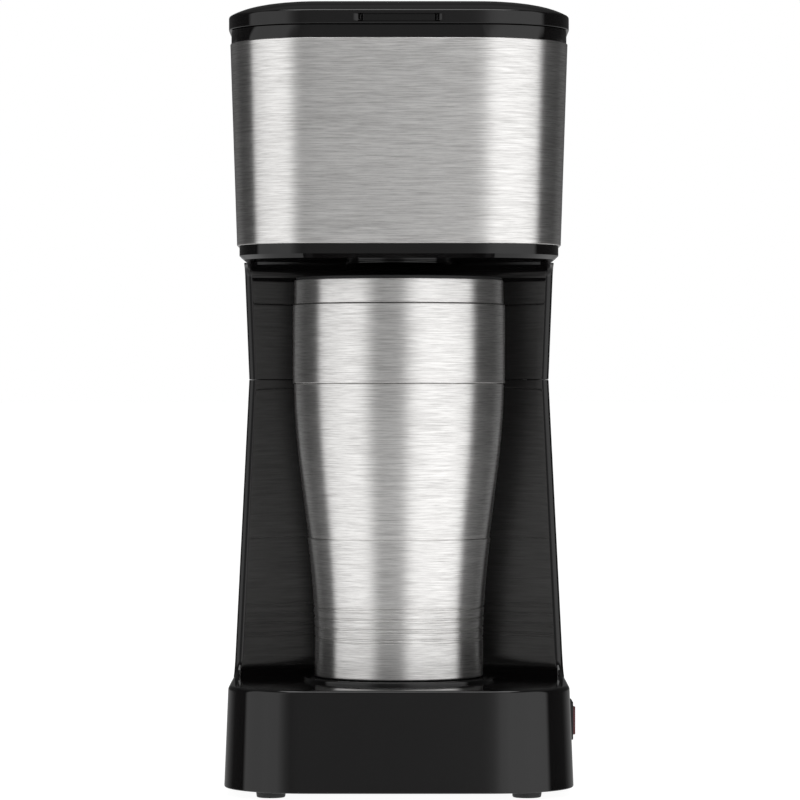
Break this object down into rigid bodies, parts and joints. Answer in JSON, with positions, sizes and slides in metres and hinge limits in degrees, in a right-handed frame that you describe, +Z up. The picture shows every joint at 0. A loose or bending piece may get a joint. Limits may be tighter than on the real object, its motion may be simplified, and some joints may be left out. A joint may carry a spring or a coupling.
{
  "type": "drip coffee maker",
  "caption": "Compact drip coffee maker with a hinged lid, steel-wrapped head, hollow column and rocker switch, over a flared steel travel tumbler with a screw lid.",
  "frame": {"origin": "on the table, at the middle of the footprint", "axes": "+Z up; -Y towards the front, where the tumbler is taken out; +X towards the side with the switch"},
  "size_m": [0.1316, 0.1674, 0.296],
  "materials": {
    "gloss_black": "high gloss black moulding with a soft orange-peel",
    "matte_black": "fine matt black moulding",
    "brushed_steel": "brushed along the horizontal",
    "rubber_black": "matt black rubber",
    "silicone": "translucent silicone",
    "cast_aluminium": "sand-cast grey",
    "zinc_steel": "zinc-plated",
    "brass": "tinned brass",
    "tank_clear": "clear smoke-tinted moulding",
    "hose_clear": "milky silicone hose",
    "white_plastic": "natural nylon",
    "steel_ball": "polished ball",
    "element_steel": "heat-darkened sheath",
    "ceramic": "glazed ceramic",
    "fuse_sleeve": "woven glass sleeve",
    "filter_brown": "matt dark moulding",
    "mesh_gold": "fine golden mesh",
    "rocker_red": "dark red translucent moulding",
    "wire_blue": "insulated wire",
    "inner_steel": "satin inner wall"
  },
  "bodies": {
    "housing": {"lower_housing": "gloss_black", "upper_housing": "gloss_black", "bottom_cover": "matte_black", "rubber_feet": "rubber_black", "cover_screws": "zinc_steel", "housing_screws": "zinc_steel", "mug_rest": "gloss_black", "head_lower_trim": "gloss_black", "steel_wrap": "brushed_steel", "top_frame": "gloss_black", "water_tank": "tank_clear", "tank_seal": "silicone", "cold_hoses": "hose_clear", "check_valve_body": "white_plastic", "heater_block": "cast_aluminium", "heater_water_tube": "zinc_steel", "heating_element": "element_steel", "heater_terminals": "brass", "heater_straps": "zinc_steel", "strap_screws": "zinc_steel", "thermostat": "ceramic", "thermal_fuse": "fuse_sleeve", "hot_hose": "hose_clear", "hose_clamps": "zinc_steel", "riser_spout": "white_plastic", "brew_funnel": "matte_black", "drip_outlet": "gloss_black", "filter_frame": "filter_brown", "filter_mesh": "mesh_gold", "cable_gland": "matte_black", "gland_nut": "matte_black", "switch_frame": "matte_black", "switch_terminals": "brass", "supply_leads": "wire_blue", "hinge_pins": "zinc_steel"},
    "head_lid": {"lid_cover": "gloss_black", "lid_panel": "matte_black", "lid_duct": "matte_black", "lid_seal": "silicone", "shower_plate": "matte_black"},
    "rocker": {"switch_rocker": "rocker_red"},
    "valve_ball": {"check_ball": "steel_ball"},
    "tumbler": {"tumbler_shell": "brushed_steel", "tumbler_liner": "inner_steel", "tumbler_collar": "brushed_steel", "tumbler_base": "matte_black"},
    "lid_thread": {"lid_gasket": "silicone"},
    "tumbler_lid": {"tumbler_skirt": "brushed_steel", "tumbler_cap": "matte_black"},
    "sip_slider": {"drink_slider": "matte_black"}
  },
  "joints": [
    {"name": "lid_hinge", "type": "hinge", "parent": "housing", "child": "head_lid", "pos_m": [0, 0.064, 0.2885], "axis": [-1, 0, 0], "range_deg": [0, 95]},
    {"name": "switch_rock", "type": "hinge", "parent": "housing", "child": "rocker", "pos_m": [0.0609, -0.01, 0.0246], "axis": [0, 0, -1], "range_deg": [0, 18]},
    {"name": "valve_lift", "type": "slide", "parent": "housing", "child": "valve_ball", "axis": [0, 0, 1], "range_m": [0, 0.0045]},
    {"name": "tumbler_out", "type": "slide", "parent": "housing", "child": "tumbler", "axis": [0, -1, 0], "range_m": [0, 0.15]},
    {"name": "tumbler_lid_lift", "type": "slide", "parent": "tumbler", "child": "lid_thread", "axis": [0, 0, 1], "range_m": [0, 0.0031]},
    {"name": "tumbler_lid_twist", "type": "hinge", "parent": "lid_thread", "child": "tumbler_lid", "pos_m": [0, -0.021, 0.186], "axis": [0, 0, 1], "range_deg": [0, 270]},
    {"name": "sip_slide", "type": "slide", "parent": "tumbler_lid", "child": "sip_slider", "axis": [0, 1, 0], "range_m": [0, 0.012]}
  ],
  "couplings": [
    {"joint": "tumbler_lid_lift", "follows": "tumbler_lid_twist", "m_per_rad": 0.00063662}
  ]
}
